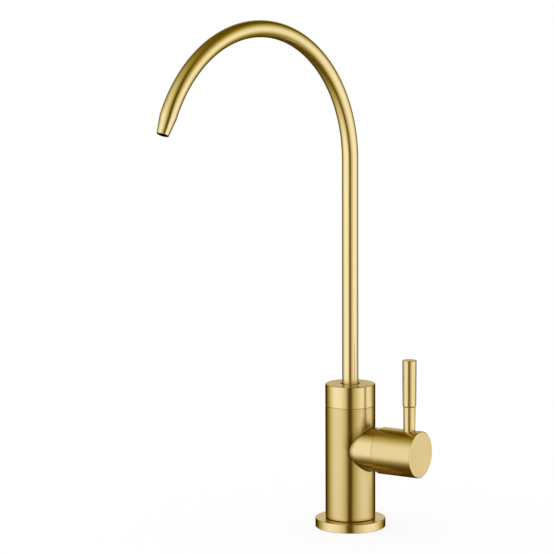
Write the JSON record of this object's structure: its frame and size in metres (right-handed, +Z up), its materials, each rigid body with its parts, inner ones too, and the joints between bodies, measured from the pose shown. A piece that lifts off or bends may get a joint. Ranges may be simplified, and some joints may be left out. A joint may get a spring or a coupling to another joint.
{
  "type": "drinking water tap",
  "caption": "Deck-mounted drinking-water tap with a swivelling gooseneck spout, a side quarter-turn lever handle, a round base flange and a threaded shank, in brushed gold.",
  "frame": {"origin": "centre of the base flange's underside, on the deck plane and on the tap's upright axis", "axes": "+Z up along the tap's axis, +X along the valve and handle axis; at rest the spout points 100 degrees clockwise of +X seen from above, close to -Y"},
  "size_m": [0.082, 0.1835, 0.3809],
  "materials": {
    "brushed_gold": "brushed gold coat over brass, satin",
    "plain_brass": "turned brass",
    "stainless_steel": "plain stainless steel",
    "black_rubber": "matt black rubber",
    "white_acetal": "plain white acetal",
    "white_ceramic": "lapped white ceramic"
  },
  "bodies": {
    "tap_body": {"base_flange": "brushed_gold", "flange_gasket": "black_rubber", "body_shell": "brushed_gold", "spout_collar": "brushed_gold", "swivel_bush": "white_acetal", "thrust_washer": "white_acetal", "threaded_shank": "plain_brass", "shank_oring": "black_rubber", "seat_seal": "black_rubber", "fixed_ceramic_disc": "white_ceramic", "headwork_body": "plain_brass", "headwork_oring": "black_rubber"},
    "spout": {"spout_tube": "brushed_gold", "spout_end_sleeve": "plain_brass", "spout_orings": "black_rubber"},
    "handle": {"handle_barrel": "brushed_gold", "lever_rod": "brushed_gold", "lever_grip": "brushed_gold", "handle_grub_screw": "stainless_steel", "valve_spindle": "plain_brass", "spindle_orings": "black_rubber", "spindle_clip": "stainless_steel", "moving_ceramic_disc": "white_ceramic"},
    "deck_clamp": {"deck_rubber_washer": "black_rubber", "deck_steel_washer": "stainless_steel", "lock_nut": "plain_brass"}
  },
  "joints": [
    {"name": "spout_swivel", "type": "hinge", "parent": "tap_body", "child": "spout", "pos_m": [0, 0, 0.1], "axis": [0, 0, 1], "continuous": true},
    {"name": "handle_turn", "type": "hinge", "parent": "tap_body", "child": "handle", "pos_m": [0.04, 0, 0.0501], "axis": [1, 0, 0], "range_deg": [0, 90]},
    {"name": "clamp_slide", "type": "slide", "parent": "tap_body", "child": "deck_clamp", "axis": [0, 0, 1], "range_m": [-0.06, 0.018]}
  ]
}
